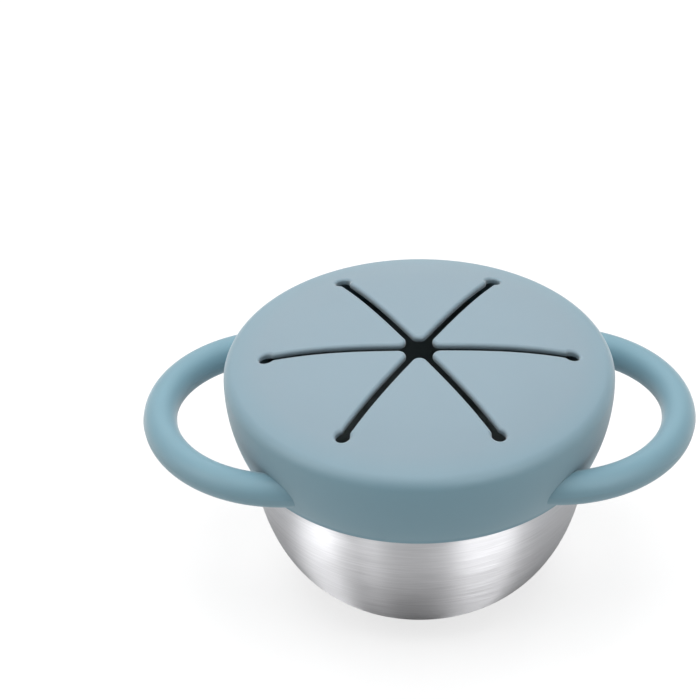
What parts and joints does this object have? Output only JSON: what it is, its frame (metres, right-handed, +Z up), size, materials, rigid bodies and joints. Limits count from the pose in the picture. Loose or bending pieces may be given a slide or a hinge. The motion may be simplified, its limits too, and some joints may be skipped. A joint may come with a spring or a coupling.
{
  "type": "toddler snack container",
  "caption": "Snack container: steel bowl with a soft silicone lid that has two loop handles and flaps between radial slits for a small hand.",
  "frame": {"origin": "centre of the flat foot that the bowl stands on", "axes": "+Z up, +X along the line through both handles, +Y to the back"},
  "size_m": [0.1362, 0.096, 0.0674],
  "materials": {
    "steel": "brushed stainless steel, fine lines round the bowl",
    "silicone": "matte dusty teal-blue silicone"
  },
  "bodies": {
    "bowl": {"steel_bowl": "steel"},
    "lid": {"lid_shell": "silicone", "left_handle": "silicone", "right_handle": "silicone"},
    "front_flap": {"front_flap": "silicone"},
    "back_flap": {"back_flap": "silicone"},
    "front_left_flap": {"front_left_flap": "silicone"},
    "front_right_flap": {"front_right_flap": "silicone"},
    "back_left_flap": {"back_left_flap": "silicone"},
    "back_right_flap": {"back_right_flap": "silicone"}
  },
  "joints": [
    {"name": "lid_lift", "type": "slide", "parent": "bowl", "child": "lid", "axis": [0, 0, 1], "range_m": [0, 0.07]},
    {"name": "front_flap_bend", "type": "hinge", "parent": "lid", "child": "front_flap", "pos_m": [0, -0.03239, 0.06419], "axis": [-1, 0, 0], "range_deg": [-50, 70], "stiffness_Nm_per_rad": 0.012},
    {"name": "back_flap_bend", "type": "hinge", "parent": "lid", "child": "back_flap", "pos_m": [0, 0.03239, 0.06419], "axis": [1, 0, 0], "range_deg": [-50, 70], "stiffness_Nm_per_rad": 0.012},
    {"name": "front_left_flap_bend", "type": "hinge", "parent": "lid", "child": "front_left_flap", "pos_m": [-0.02805, -0.01619, 0.06419], "axis": [-0.5, 0.866, 0], "range_deg": [-50, 70], "stiffness_Nm_per_rad": 0.012},
    {"name": "front_right_flap_bend", "type": "hinge", "parent": "lid", "child": "front_right_flap", "pos_m": [0.02805, -0.01619, 0.06419], "axis": [-0.5, -0.866, 0], "range_deg": [-50, 70], "stiffness_Nm_per_rad": 0.012},
    {"name": "back_left_flap_bend", "type": "hinge", "parent": "lid", "child": "back_left_flap", "pos_m": [-0.02805, 0.01619, 0.06419], "axis": [0.5, 0.866, 0], "range_deg": [-50, 70], "stiffness_Nm_per_rad": 0.012},
    {"name": "back_right_flap_bend", "type": "hinge", "parent": "lid", "child": "back_right_flap", "pos_m": [0.02805, 0.01619, 0.06419], "axis": [0.5, -0.866, 0], "range_deg": [-50, 70], "stiffness_Nm_per_rad": 0.012}
  ]
}
